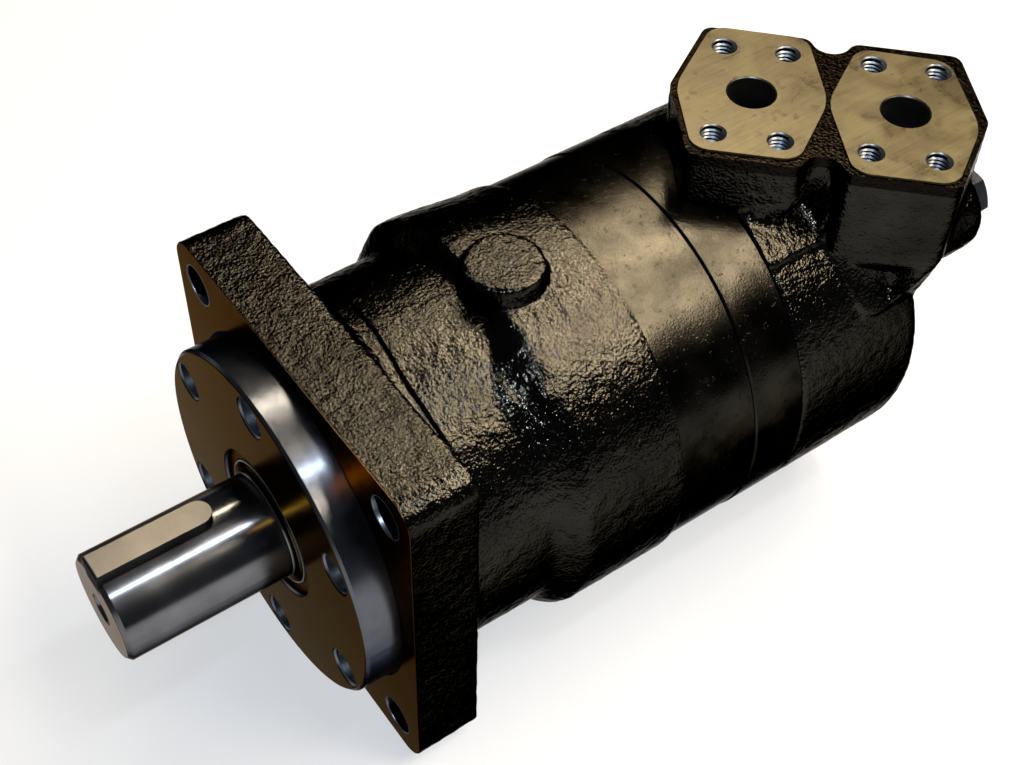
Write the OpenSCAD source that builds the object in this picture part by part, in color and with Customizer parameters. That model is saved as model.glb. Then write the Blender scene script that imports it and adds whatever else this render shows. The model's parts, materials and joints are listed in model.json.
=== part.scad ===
// Orbital hydraulic motor: square flange, keyed shaft, roller gear set, disc valve, two flange ports.
// Lengths are in millimetres. The shaft axis is X and the shaft end points to +X.
// The mounting face of the flange is x = 0. The port faces look up, along +Z.

/* [Mounting flange] */
// Wall of the square mounting flange outside the centres of its holes
flange_edge = 13.75; // [12:0.05:20]
// Corner radius of the mounting flange
flange_corner = 18; // [8:0.5:24]
// Thickness of the mounting flange
flange_thick = 24.5; // [20:0.5:32]
// Spacing of the four mounting holes
flange_pitch = 114.5; // [108:0.1:118]
// Radius of the mounting holes
flange_hole_r = 7.15; // [5:0.05:8]
// Radius of the pilot
pilot_r = 63.5; // [60:0.05:66]
// Height of the pilot above the mounting face
pilot_h = 13.3; // [11:0.1:20]

/* [Front plate] */
// Depth of the seat of the front plate in the flange
register_depth = 6; // [4:0.5:8]
// Width of the rim of the front plate outside the pilot, flush with the mounting face
register_rim = 1; // [0.5:0.1:2]
// Length of the spigot that holds the front bearing
spigot_len = 8; // [7:0.5:12]
// Radius of the bore that the shaft leaves through
plate_bore_r = 27; // [25.5:0.1:30]
// Bevel at the edge of that bore
plate_bevel = 0.9; // [0.3:0.1:1.5]
// Radius of the circle of the front screws
front_screw_circle = 54.6; // [53:0.1:55.5]
// Number of front screws
front_screw_count = 6; // [3:1:8]
// Radius of the shank of the front screws
front_screw_r = 4; // [2.5:0.1:4.5]
// Length of the front screws under the head
front_screw_len = 22; // [16:1:26]
// Depth of the pockets of the front screws
front_pocket = 12; // [10.5:0.5:13]

/* [Output shaft] */
// Radius of the output shaft
shaft_r = 19.05; // [16:0.05:20]
// Reach of the shaft in front of the mounting face
shaft_reach = 73; // [60:0.5:95]
// Bevel at the end of the shaft
shaft_bevel = 1.6; // [0.5:0.1:3]
// Radius of the shaft under the dust seal
wiper_r = 22.2; // [21:0.1:23]
// Radius of the shaft under the oil seal
seal_r = 24; // [23.4:0.1:24.8]
// Radius of the bearing seats on the shaft
journal_r = 25; // [24.9:0.05:26]
// Radius of the collar between the bearings
collar_r = 29; // [27:0.5:31]
// Width of the key
key_w = 9.525; // [6:0.005:10]
// Height of the key
key_h = 9.525; // [7:0.005:10]
// Distance of the top of the key from the shaft axis
key_top = 23.2; // [21:0.05:24]
// Length of the key
key_len = 42; // [20:0.5:52]
// Radius of the tapped hole in the shaft end
end_hole_r = 4.2; // [2:0.1:5]
// Depth of the tapped hole in the shaft end
end_hole_depth = 24; // [8:1:30]

/* [Housing] */
// Length from the mounting face to the gear ring
housing_len = 107.4; // [104:0.2:125]
// Radius of the body of the bearing housing
body_r = 72.7; // [71:0.1:76]
// Radius of the neck behind the flange
neck_r = 66; // [62:0.5:69]
// Place of the shoulder behind the neck
shoulder_at = 56; // [50:0.5:62]
// Length of the shoulder
shoulder_len = 9; // [5:0.5:14]
// Place of the round boss behind the mounting face
boss_at = 78; // [72:0.5:84]
// Sideways place of the round boss
boss_side = 6; // [-6:0.5:8]
// Radius of the round boss
boss_r = 13.5; // [8:0.5:15]
// Height of the boss above the shaft axis
boss_top = 77; // [75:0.5:82]
// Radius of the main bore of the housing
bore_r = 45; // [45:0.1:46]
// Thickness of the wall behind the rear bearing
rear_wall = 23.4; // [22:0.2:26]

/* [Bearings] */
// Width of one tapered roller bearing
bearing_w = 22; // [21:0.2:24]
// Number of tapered rollers in one bearing
taper_count = 18; // [12:1:20]
// Length of a tapered roller
taper_len = 14; // [10:0.2:14.6]
// Radius of the large end of a tapered roller
taper_big = 4.5; // [4:0.05:4.6]
// Radius of the small end of a tapered roller
taper_small = 3.7; // [3.2:0.05:3.9]
// Thickness of the bearing shim
shim_t = 0.8; // [0.3:0.1:1.5]

/* [Gear set] */
// Width of the gear ring
ring_w = 32.6; // [31:0.2:50]
// Wall of the gear ring outside the circle of the tie screws
ring_edge = 8.9; // [8.1:0.1:11.6]
// Number of rollers in the gear ring, one more than the star has lobes
roller_n = 7; // [7:1:7]
// Radius of the circle of the rollers
roller_circle = 42; // [41:0.1:42.4]
// Radius of a roller
roller_r = 9; // [8:0.1:9.2]
// Offset of the star from the shaft axis
ecc = 4.2; // [3.2:0.1:4.4]
// Thickness of the wear plate
wear_t = 6; // [4:0.5:8]

/* [Drive links] */
// Radius of the splines of the main link
spline_r = 17; // [15:0.1:17.6]
// Radius of the splines of the valve link
valve_spline_r = 12.5; // [11.5:0.1:13]
// Number of teeth of each spline
teeth = 12; // [8:1:12]
// Radius of the middle of the main link
link_r = 10.5; // [8:0.5:12]
// Radius of the middle of the valve link
valve_link_r = 7.5; // [6:0.5:8.5]

/* [Valve] */
// Thickness of the valve plate
plate_t = 21.5; // [18:0.5:26]
// Step of the valve plate and the valve housing outside the gear ring
valve_step = 0.4; // [0:0.1:3]
// Radius of the turning disc valve
disc_r = 46; // [45:0.1:47]
// Thickness of the turning disc valve
disc_t = 16; // [14:0.5:18]
// Thickness of the balance ring
balance_t = 12.4; // [11:0.2:14]
// Space behind the balance ring
spring_room = 8; // [7:0.5:10]
// Thickness of the rear wall of the valve housing
valve_wall = 21; // [19:0.5:28]
// Radius of the channels from the valve to the gear set
channel_r = 4; // [3:0.1:4]

/* [Ports] */
// Height of the port faces above the shaft axis
port_z = 92; // [88:0.5:100]
// Height of the floor of the first port above the shaft axis
port_floor = 56; // [55:0.5:60]
// Place of the port pair behind the mounting face
port_back = 204.4; // [200:0.2:210]
// Sideways place of the port pair
port_side = 17; // [10:0.5:22]
// Turn of the port row about the vertical
port_turn = 135; // [125:1:145]
// Distance between the two ports
port_gap = 52; // [50:0.5:60]
// Radius of the ports
port_r = 8.75; // [7:0.05:9.5]
// Short spacing of the port screws
port_short = 22.2; // [18:0.1:24]
// Long spacing of the port screws
port_long = 47.6; // [40:0.1:48]
// Radius of the tapped port screw holes
port_tap_r = 4.25; // [3:0.05:5]
// Depth of the tapped port screw holes
port_tap_depth = 19; // [12:1:20]
// Half of the short side of a port pad
pad_short = 17; // [16:0.5:19]
// Half of the long side of a port pad
pad_long = 32.8; // [30:0.1:34]
// Cast rim left round a port pad
pad_rim = 2.4; // [1:0.2:5]
// Radius of the notch between the two pads
notch_r = 7; // [4:0.5:8]
// Height of the foot of the cast port block at the notch
block_foot = 82; // [76:0.5:85]
// Height of a port pad above the cast rim
pad_step = 0.8; // [0.3:0.1:2]

/* [Tie screws] */
// Distance of the circle of the tie screws outside the rollers
tie_out = 11.4; // [11:0.1:12]
// Radius of the shank of the tie screws
tie_r = 4; // [3:0.1:4]
// Thread of the tie screws that is held in the housing
tie_grip = 16; // [10:1:20]

/* [Rear boss] */
// Distance of the rear boss outside the valve housing
drain_out = 1.5; // [-3:0.5:3]
// Turn of the rear boss about the shaft axis
drain_turn = 47; // [42:0.5:52]
// Radius of the rear boss
drain_boss_r = 17; // [13:0.5:18]
// Length of the rear boss behind the housing
drain_reach = 22; // [12:0.5:26]
// Radius of the thread of the drain plug
drain_r = 7; // [5:0.1:8]
// Width of the hexagon of the drain plug across its corners
drain_hex = 21; // [18:0.5:26]

/* [Fits] */
// Running clearance of bearings, rollers and star
run_gap = 0.03; // [0.02:0.01:0.05]
// Clearance of a seated spigot
seat_gap = 0.1; // [0.05:0.01:0.15]
// Side clearance of the splines
spline_gap = 0.15; // [0.12:0.01:0.2]

/* [Hidden] */
flange_side = flange_pitch + 2 * flange_edge;
fine = 96;
mid = 48;
low = 24;
x_ring = -housing_len;
x_plate = x_ring - ring_w;
x_valve = x_plate - plate_t;
x_disc = x_valve - run_gap;
x_disc_back = x_disc - disc_t;
x_balance = x_disc_back - run_gap;
x_balance_back = x_balance - balance_t;
x_room_back = x_balance_back - spring_room;
x_end = x_room_back - valve_wall;
web_root = 52;
web_rise = 2.4;
web_crown = 2.6;
web_sink = 0.6;
spigot_r = bore_r - seat_gap;
register_r = pilot_r + register_rim;
x_spigot = -register_depth - spigot_len;
x_front_cup = x_spigot - shim_t;
x_rear_cup = x_ring + rear_wall;
x_front_cone = x_front_cup - bearing_w;
x_rear_cone = x_rear_cup + bearing_w;
x_shaft_back = x_rear_cup - 6;
head_r = 1.6 * front_screw_r;
x_front_floor = pilot_h - front_pocket;
tie_head_r = 1.6 * tie_r;
tie_head_h = 2 * tie_r;
dust_len = 6;
x_dust = pilot_h - dust_len;
x_seal = 4;
seal_len = 12;
seal_or = 34;
backup_t = 1.6;
snap_t = 1.7;
snap_w = 4;
snap_gap = 5;
x_snap = x_seal - seal_len - backup_t;
cord_r = 1.3;
cord_half = cord_r + 0.1;
cord_deep = 2 * cord_r + 0.05;
groove_in = bore_r - cord_deep;
x_groove = x_spigot + 3;
cord_back = 4;
x_cord = x_balance_back + cord_back;
lobes = roller_n - 1;
wear_r = roller_circle + roller_r + 1.4;
tie_circle = roller_circle + roller_r + tie_out;
ring_r = tie_circle + ring_edge;
valve_body_r = ring_r + valve_step;
body_cord = 1;
body_seal_r = tie_circle - tie_r - 2.95;
tooth_half = 0.125 * spline_r;
tooth_deep = 0.155 * spline_r;
valve_tooth_half = 0.125 * valve_spline_r;
valve_tooth_deep = 0.155 * valve_spline_r;
main_half = 6;
valve_half = 4;
main_crown = 22;
valve_crown = 16;
x_link_a = x_rear_cup + 10;
x_link_b = x_ring - 10;
x_link_c = x_plate + 6.5;
x_link_d = x_disc - 9;
main_run = x_link_a - x_link_b;
valve_run = x_link_c - x_link_d;
main_tilt = atan(ecc / main_run);
valve_tilt = atan(ecc / valve_run);
main_len = sqrt(main_run * main_run + ecc * ecc);
valve_len = sqrt(valve_run * valve_run + ecc * ecc);
x_spacer_a = x_link_b - main_half - 1.9;
x_spacer_b = x_link_c + valve_half + 1.9;
channel_at = roller_circle - 4.5;
hub_r = 26;
balance_r = disc_r + 2;
room_r = disc_r + 5;
taper_tilt = 12.3;
taper_at = 11;
taper_rc = 35.2;
port_u = [cos(port_turn), sin(port_turn)];
port_c = [-port_back, port_side];
port_1 = port_c - port_u * (port_gap / 2);
port_2 = port_c + port_u * (port_gap / 2);
pad_tip = port_gap / 2;
pad_soft = 4;
block_root = 56;
foot_y = 30;
foot_z = 26;
foot_r = 30;
foot_len = 34;
port_low = 40;
feed_y = 25;
feed_z = 27;
cut_far = 60;
rise_r = 4;
rise_turn = 54;
rise_span = 20;
drain_y = (valve_body_r + drain_out) * cos(drain_turn);
drain_z = (valve_body_r + drain_out) * sin(drain_turn);
x_boss = x_end - drain_reach;
washer_t = 1.6;
washer_w = 3.6;
plug_collar = 1.2;
plug_head = 7.2;
plug_grip = 12;
x_washer = x_boss - washer_t;
x_collar = x_washer - plug_collar;
x_plug = x_collar - plug_head;
pin_r = 2;
pin_hold = 5;
pin_in = 3.5;
black = [0.09, 0.09, 0.1];
steel = [0.62, 0.64, 0.67];
dark_steel = [0.4, 0.42, 0.46];
rubber = [0.05, 0.05, 0.06];
bronze = [0.62, 0.48, 0.25];

// A bar along X from a to b.
module bar(a, b, r, fn = 48) {
  translate([a, 0, 0])
    rotate([90, 0, 90])
      cylinder(h = b - a, r = r, $fn = fn);
}

// A turned piece. Its half section is a list of radius and x.
module turned(section, fn = 96) {
  rotate([90, 0, 90])
    rotate_extrude($fn = fn)
      polygon(section);
}

// A flat shape in the YZ plane, given a length along X.
module slab(a, b) {
  translate([a, 0, 0])
    rotate([90, 0, 90])
      linear_extrude(b - a)
        children();
}

// A round ring of rubber cord.
module cord_ring(x, r, section) {
  translate([x, 0, 0])
    rotate([90, 0, 90])
      rotate_extrude($fn = 72)
        translate([r, 0])
          circle(r = section, $fn = 16);
}

// A place on a circle about the shaft axis, turned from +Y to +Z.
module around(r, a) {
  translate([0, r * cos(a), r * sin(a)])
    children();
}

// A round drilling between two points.
module drilling(p, q, r) {
  d = q - p;
  l = norm(d);
  translate(p)
    rotate([0, acos(d[2] / l), atan2(d[1], d[0])])
      cylinder(h = l, r = r, $fn = 32);
}

// A socket screw along X. The head stands from x = 0 to +X, the shank goes to -X.
module socket_screw(shank_r, under) {
  cap_r = 1.6 * shank_r;
  cap_h = 2 * shank_r;
  difference() {
    turned([
      [0, -under], [shank_r - 0.6, -under], [shank_r, -under + 0.8], [shank_r, 0],
      [cap_r, 0], [cap_r, cap_h - 0.5], [cap_r - 0.5, cap_h], [0, cap_h]
    ], 32);
    bar(cap_h - shank_r, cap_h + 1, 0.87 * shank_r, 6);
  }
}

// Outline of one male spline tooth, seen along its height. Its sides are crowned.
module tooth_side(half_w, half_len, crown) {
  intersection() {
    translate([0, crown - half_w])
      circle(r = crown, $fn = 120);
    translate([0, half_w - crown])
      circle(r = crown, $fn = 120);
    square([2 * half_len, 2 * half_w], center = true);
  }
}

// A crowned spline head, centred on the origin, on a ball of the spline radius.
module spline_head(r, half_w, deep, half_len, crown) {
  root = r - deep - 0.9;
  intersection() {
    union() {
      bar(-half_len, half_len, root, 32);
      for (i = [0 : teeth - 1])
        rotate([360 / teeth * i, 0, 0])
          translate([0, 0, root - 1.5])
            linear_extrude(r - root + 2)
              tooth_side(half_w, half_len, crown);
    }
    sphere(r = r, $fn = mid);
  }
}

// The matching hole, drawn in the YZ plane.
module spline_hole(r, half_w, deep) {
  circle(r = r - deep, $fn = mid);
  intersection() {
    circle(r = r + 0.06, $fn = fine);
    for (i = [0 : teeth - 1])
      rotate(360 / teeth * i)
        translate([0, -half_w - spline_gap])
          square([r + 2, 2 * (half_w + spline_gap)]);
  }
}

// Outline of one roller bearing section: a point by its place along and across the roller axis.
function taper_point(s, t) = [
  taper_rc + s * sin(taper_tilt) + t * cos(taper_tilt),
  taper_at + s * cos(taper_tilt) - t * sin(taper_tilt)
];

// Radius at x on the straight line through two points of a section.
function race_at(a, b, x) = a[0] + (b[0] - a[0]) * (x - a[1]) / (b[1] - a[1]);

module cup_shape() {
  a = taper_point(-taper_len / 2, taper_small + run_gap);
  b = taper_point(taper_len / 2, taper_big + run_gap);
  wide = bearing_w - 3;
  turned([
    [bore_r, 0.8], [bore_r - 0.8, 0], [race_at(a, b, 0), 0],
    [race_at(a, b, wide), wide], [bore_r, wide]
  ]);
}

module cone_shape() {
  half = taper_len / 2 + 0.05;
  p = taper_point(-half, -taper_small + 0.9);
  q = taper_point(-half, -taper_small - run_gap);
  r = taper_point(half, -taper_big - run_gap);
  s = taper_point(half, -taper_big + 2.4);
  turned([
    [journal_r, 3], [p[0], 3], p, q, r, s, [s[0], bearing_w], [journal_r, bearing_w]
  ]);
}

module one_taper(grow) {
  translate([taper_at, taper_rc, 0])
    rotate([0, 0, taper_tilt])
      rotate([0, 90, 0])
        translate([0, 0, -taper_len / 2 - grow])
          cylinder(h = taper_len + 2 * grow, r1 = taper_small + grow, r2 = taper_big + grow, $fn = 20);
}

module taper_shape(grow) {
  for (i = [0 : taper_count - 1])
    rotate([360 / taper_count * i, 0, 0])
      one_taper(grow);
}

module cage_shape() {
  half = taper_len / 2 + 1.5;
  difference() {
    turned([
      taper_point(-half, -0.9), taper_point(half, -0.9),
      taper_point(half, 0.9), taper_point(-half, 0.9)
    ], 72);
    taper_shape(0.25);
  }
}

// Puts a bearing piece behind the front plate, its wide end to the rear.
module in_front() {
  translate([x_front_cup, 0, 0])
    mirror([1, 0, 0])
      children();
}

// Puts a bearing piece on the rear shoulder of the housing, its wide end to the front.
module in_rear() {
  translate([x_rear_cup, 0, 0])
    children();
}

// The star outline is the path of the roller centres, seen from the star, moved in by one roller
// radius. It is drawn in the YZ plane about the centre of the star.
function star_path(a) = [
  roller_circle * cos(a) - ecc * cos(roller_n * a),
  roller_circle * sin(a) - ecc * sin(roller_n * a)
];
function star_slope(a) = [
  -roller_circle * sin(a) + ecc * roller_n * sin(roller_n * a),
  roller_circle * cos(a) - ecc * roller_n * cos(roller_n * a)
];
function star_edge(a) =
  let (p = star_path(a), v = star_slope(a), l = norm(v), d = roller_r + run_gap)
  [p[0] - d * v[1] / l, p[1] + d * v[0] / l];

module square_flange() {
  h = flange_side / 2 - flange_corner;
  translate([-h, -h - flange_corner])
    square([2 * h, 2 * (h + flange_corner)]);
  translate([-h - flange_corner, -h])
    square([2 * (h + flange_corner), 2 * h]);
  for (sy = [-1, 1])
    for (sz = [-1, 1])
      translate([sy * h, sz * h])
        circle(r = flange_corner, $fn = mid);
}

module bearing_housing() color(black) {
  x_a = -shoulder_at;
  x_b = -shoulder_at - shoulder_len;
  rise = body_r - neck_r;
  difference() {
    union() {
      slab(-flange_thick, 0)
        square_flange();
      turned([
        [0, -flange_thick - 5], [neck_r, -flange_thick - 5], [neck_r, x_a],
        [neck_r + 0.08 * rise, x_a - 0.2 * shoulder_len],
        [neck_r + 0.3 * rise, x_a - 0.42 * shoulder_len],
        [neck_r + 0.7 * rise, x_a - 0.6 * shoulder_len],
        [neck_r + 0.92 * rise, x_a - 0.8 * shoulder_len],
        [body_r, x_b], [body_r, x_ring + 1], [body_r - 1, x_ring], [0, x_ring]
      ], 128);
      turned([
        [0, -flange_thick], [neck_r + 2.6, -flange_thick], [neck_r + 0.8, -flange_thick - 1.6],
        [neck_r, -flange_thick - 4], [neck_r, -flange_thick - 6], [0, -flange_thick - 6]
      ], 128);
      // Round cast boss with a soft foot.
      translate([-boss_at, boss_side, 40])
        rotate_extrude($fn = mid)
          polygon([
            [0, 0], [boss_r + 3.6, 0], [boss_r + 3.6, boss_top - 45.5], [boss_r + 1.3, boss_top - 44],
            [boss_r + 0.5, boss_top - 42.6], [boss_r + 0.2, boss_top - 40.5], [boss_r - 0.5, boss_top - 40],
            [0, boss_top - 40]
          ]);
      // Cast web that runs down from the boss, wider at its foot.
      hull() {
        translate([-boss_at + 6, 0, 0])
          rotate([-14, 0, 0])
            translate([0, 0, web_root])
              cylinder(h = body_r + web_rise - web_root, r1 = 6, r2 = 3.5, $fn = low);
        translate([-boss_at + 11, 0, 0])
          rotate([-40, 0, 0])
            translate([0, 0, web_root])
              cylinder(h = body_r + web_crown - web_root, r1 = 9, r2 = 5, $fn = low);
        translate([-boss_at + 9, 0, 0])
          rotate([-58, 0, 0])
            translate([0, 0, web_root])
              cylinder(h = body_r - web_sink - web_root, r1 = 14, r2 = 8, $fn = low);
      }
    }
    for (sy = [-1, 1])
      for (sz = [-1, 1])
        translate([0, sy * flange_pitch / 2, sz * flange_pitch / 2]) {
          bar(-flange_thick - 1, 1, flange_hole_r, mid);
          bar(-flange_thick - 12, -flange_thick, 2 * flange_hole_r, mid);
        }
    bar(-register_depth, 1, register_r + seat_gap, fine);
    bar(x_rear_cup, 1, bore_r, fine);
    bar(x_ring - 1, x_rear_cup + 1, hub_r + 10, fine);
    bar(x_ring - 1, x_ring + wear_t, wear_r + seat_gap, fine);
    for (i = [0 : front_screw_count - 1])
      around(front_screw_circle, 30 + 360 / front_screw_count * i)
        bar(x_front_floor - front_screw_len - 1.5, 1, front_screw_r, 32);
    for (i = [0 : roller_n - 1])
      around(tie_circle, 180 / roller_n + 360 / roller_n * i)
        bar(x_ring - 1, x_ring + tie_grip + 2, tie_r, 32);
  }
}

module retainer_plate() color(dark_steel) {
  wall = groove_in;
  difference() {
    turned([
      [plate_bore_r + plate_bevel, pilot_h], [pilot_r - 1.2, pilot_h], [pilot_r, pilot_h - 1.2],
      [pilot_r, 0], [register_r, 0], [register_r, -register_depth], [spigot_r, -register_depth],
      [spigot_r, x_groove + cord_half], [wall, x_groove + cord_half],
      [wall, x_groove - cord_half], [spigot_r, x_groove - cord_half],
      [spigot_r, x_spigot], [seal_or, x_spigot],
      [seal_or, x_snap - snap_t - 0.1], [seal_or + 1.5, x_snap - snap_t - 0.1],
      [seal_or + 1.5, x_snap + 0.1], [seal_or, x_snap + 0.1],
      [seal_or, x_seal], [wiper_r + 0.8, x_seal], [wiper_r + 0.8, x_dust], [plate_bore_r, x_dust],
      [plate_bore_r, pilot_h - plate_bevel]
    ], 128);
    for (i = [0 : front_screw_count - 1])
      around(front_screw_circle, 30 + 360 / front_screw_count * i) {
        bar(-30, pilot_h, front_screw_r + 0.25, 32);
        bar(x_front_floor, pilot_h + 1, head_r + 0.4, 32);
        turned([
          [0, pilot_h - 0.8], [head_r + 0.4, pilot_h - 0.8], [head_r + 1.4, pilot_h + 0.2], [0, pilot_h + 0.2]
        ], 32);
      }
  }
}

module retainer_screws() color(steel)
  for (i = [0 : front_screw_count - 1])
    around(front_screw_circle, 30 + 360 / front_screw_count * i)
      translate([x_front_floor, 0, 0])
        socket_screw(front_screw_r, front_screw_len);

module retainer_o_ring() color(rubber)
  cord_ring(x_groove, bore_r - cord_r - 0.02, cord_r);

module bearing_shim() color(steel)
  turned([
    [spigot_r - 7, x_front_cup], [spigot_r, x_front_cup], [spigot_r, x_spigot], [spigot_r - 7, x_spigot]
  ]);

module output_shaft() color(steel) {
  x_a = x_front_cup - 3;
  x_key = shaft_reach - key_len;
  difference() {
    turned([
      [0, shaft_reach], [shaft_r - shaft_bevel, shaft_reach], [shaft_r, shaft_reach - shaft_bevel],
      [shaft_r, pilot_h + 0.6], [shaft_r + 0.6, pilot_h],
      [wiper_r - 0.5, pilot_h - 0.4], [wiper_r, pilot_h - 0.9],
      [wiper_r, 3.2], [seal_r, 2], [seal_r, x_a + 1], [journal_r, x_a],
      [journal_r, x_front_cone], [collar_r, x_front_cone], [collar_r, x_rear_cone], [journal_r, x_rear_cone],
      [journal_r, x_rear_cup + 2], [journal_r - 0.6, x_rear_cup + 1], [journal_r - 0.6, x_shaft_back],
      [0, x_shaft_back]
    ]);
    // Keyway, with a round inner end.
    translate([x_key + key_w / 2, -key_w / 2, key_top - key_h])
      cube([key_len, key_w, key_h + 1]);
    translate([x_key + key_w / 2, 0, key_top - key_h])
      cylinder(h = key_h + 1, r = key_w / 2, $fn = mid);
    // Tapped hole with a countersink.
    bar(shaft_reach - end_hole_depth, shaft_reach + 1, end_hole_r, 32);
    turned([
      [0, shaft_reach - 3.4], [end_hole_r - 0.2, shaft_reach - 2.4], [end_hole_r + 1.8, shaft_reach + 0.2],
      [0, shaft_reach + 0.2]
    ], 32);
    // Splined bore for the main link.
    slab(x_shaft_back - 1, x_link_a + main_half + 1.5)
      spline_hole(spline_r, tooth_half, tooth_deep);
    bar(x_link_a + main_half, x_link_a + main_half + 4, spline_r - tooth_deep, mid);
  }
}

module shaft_key() color(steel) {
  x_key = shaft_reach - key_len;
  difference() {
    union() {
      translate([x_key + key_w / 2, -key_w / 2, key_top - key_h])
        cube([key_len - key_w / 2, key_w, key_h]);
      translate([x_key + key_w / 2, 0, key_top - key_h])
        cylinder(h = key_h, r = key_w / 2, $fn = mid);
    }
    // The free end follows the bevel of the shaft end.
    translate([shaft_reach, 0, key_top])
      rotate([0, 45, 0])
        cube([1.2, key_w + 1, 1.2], center = true);
  }
}

module dust_seal() color(rubber)
  turned([
    [plate_bore_r, x_dust], [plate_bore_r, x_dust + 0.6 * dust_len],
    [plate_bore_r - 1.4, x_dust + 0.65 * dust_len], [wiper_r + 1.5, x_dust + 0.65 * dust_len],
    [wiper_r + 0.9, x_dust + 0.78 * dust_len], [wiper_r + run_gap, x_dust + 0.82 * dust_len],
    [wiper_r + run_gap, x_dust + 0.68 * dust_len], [wiper_r + 1, x_dust + 0.43 * dust_len],
    [wiper_r + 1, x_dust]
  ]);

module shaft_seal() color(rubber)
  turned([
    [seal_or, x_seal - seal_len], [seal_or, x_seal], [seal_r + 1.5, x_seal], [seal_r + 1.5, x_seal - 1.4],
    [seal_r + 6.5, x_seal - 2.8], [seal_r + 3, x_seal - 6.2], [seal_r + run_gap, x_seal - 7],
    [seal_r + run_gap, x_seal - 8.2], [seal_r + 3.5, x_seal - 9.2], [seal_r + 5, x_seal - seal_len]
  ]);

module seal_backup_ring() color(steel)
  turned([
    [seal_r + 2, x_snap], [seal_or, x_snap],
    [seal_or, x_seal - seal_len], [seal_r + 2, x_seal - seal_len]
  ]);

module seal_snap_ring() color(steel)
  difference() {
    turned([
      [seal_or - snap_w, x_snap - snap_t], [seal_or + 1.4, x_snap - snap_t],
      [seal_or + 1.4, x_snap], [seal_or - snap_w, x_snap]
    ], 72);
    translate([x_snap - snap_t - 1, -snap_gap, -seal_or - snap_w])
      cube([snap_t + 2, 2 * snap_gap, 3 * snap_w]);
  }

module front_cup() color(steel) in_front() cup_shape();
module front_cone() color(steel) in_front() cone_shape();
module front_tapers() color(steel) in_front() taper_shape(0);
module front_cage() color(bronze) in_front() cage_shape();
module rear_cup() color(steel) in_rear() cup_shape();
module rear_cone() color(steel) in_rear() cone_shape();
module rear_tapers() color(steel) in_rear() taper_shape(0);
module rear_cage() color(bronze) in_rear() cage_shape();

module wear_plate() color(steel)
  turned([
    [spline_r + 1.5, x_ring], [wear_r, x_ring], [wear_r, x_ring + wear_t], [spline_r + 1.5, x_ring + wear_t]
  ]);

// A link with a crowned spline head at each end. It runs from the origin to -X.
module link_shape(r, half_w, deep, half_len, crown, middle, span) {
  root = r - deep - 0.9;
  spline_head(r, half_w, deep, half_len, crown);
  translate([-span, 0, 0])
    spline_head(r, half_w, deep, half_len, crown);
  turned([
    [0, half_len + 1.2], [root - 4, half_len + 1.2], [root - 2.2, half_len - 0.2], [root - 2.2, -half_len],
    [middle, -half_len - 3], [middle, -span + half_len + 3], [root - 2.2, -span + half_len],
    [root - 2.2, -span - half_len + 0.2], [root - 4, -span - half_len - 1.2], [0, -span - half_len - 1.2]
  ], 40);
}

module main_link() color(steel)
  translate([x_link_a, 0, 0])
    rotate([0, 0, -main_tilt])
      link_shape(spline_r, tooth_half, tooth_deep, main_half, main_crown, link_r, main_len);

module valve_link() color(steel)
  translate([x_link_c, ecc, 0])
    rotate([0, 0, valve_tilt])
      link_shape(
        valve_spline_r, valve_tooth_half, valve_tooth_deep, valve_half, valve_crown, valve_link_r, valve_len
      );

module link_spacer() color(bronze)
  translate([0, ecc, 0])
    bar(x_spacer_b + 0.3, x_spacer_a - 0.3, 6.5, 32);

module gear_ring() color(black)
  difference() {
    turned([
      [0, x_plate], [ring_r - 0.6, x_plate], [ring_r, x_plate + 0.6], [ring_r, x_ring - 0.6],
      [ring_r - 0.6, x_ring], [0, x_ring]
    ], 128);
    bar(x_plate - 1, x_ring + 1, roller_circle - 0.2, fine);
    for (i = [0 : roller_n - 1]) {
      around(roller_circle, 360 / roller_n * i)
        bar(x_plate - 1, x_ring + 1, roller_r + run_gap, mid);
      around(tie_circle, 180 / roller_n + 360 / roller_n * i)
        bar(x_plate - 1, x_ring + 1, tie_r + 0.3, 32);
    }
    turned([
      [body_seal_r - 1.4, x_ring - 2 * body_cord], [body_seal_r + 1.4, x_ring - 2 * body_cord],
      [body_seal_r + 1.4, x_ring + 1], [body_seal_r - 1.4, x_ring + 1]
    ]);
  }

module ring_roller(i) color(steel)
  around(roller_circle, 360 / roller_n * i)
    turned([
      [0, x_plate + run_gap], [roller_r - 0.5, x_plate + run_gap], [roller_r, x_plate + run_gap + 0.5],
      [roller_r, x_ring - run_gap - 0.5], [roller_r - 0.5, x_ring - run_gap], [0, x_ring - run_gap]
    ], mid);

module roller_1() ring_roller(0);
module roller_2() ring_roller(1);
module roller_3() ring_roller(2);
module roller_4() ring_roller(3);
module roller_5() ring_roller(4);
module roller_6() ring_roller(5);
module roller_7() ring_roller(6);

module star() color(steel)
  translate([0, ecc, 0])
    difference() {
      slab(x_plate + run_gap, x_ring - run_gap)
        polygon([for (k = [0 : 239]) star_edge(1.5 * k - 0.8 * sin(1.5 * k * lobes) / lobes * 180 / PI)]);
      slab(x_spacer_a - 1, x_ring + 1)
        spline_hole(spline_r, tooth_half, tooth_deep);
      slab(x_plate - 1, x_spacer_a)
        spline_hole(valve_spline_r, valve_tooth_half, valve_tooth_deep);
    }

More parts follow.
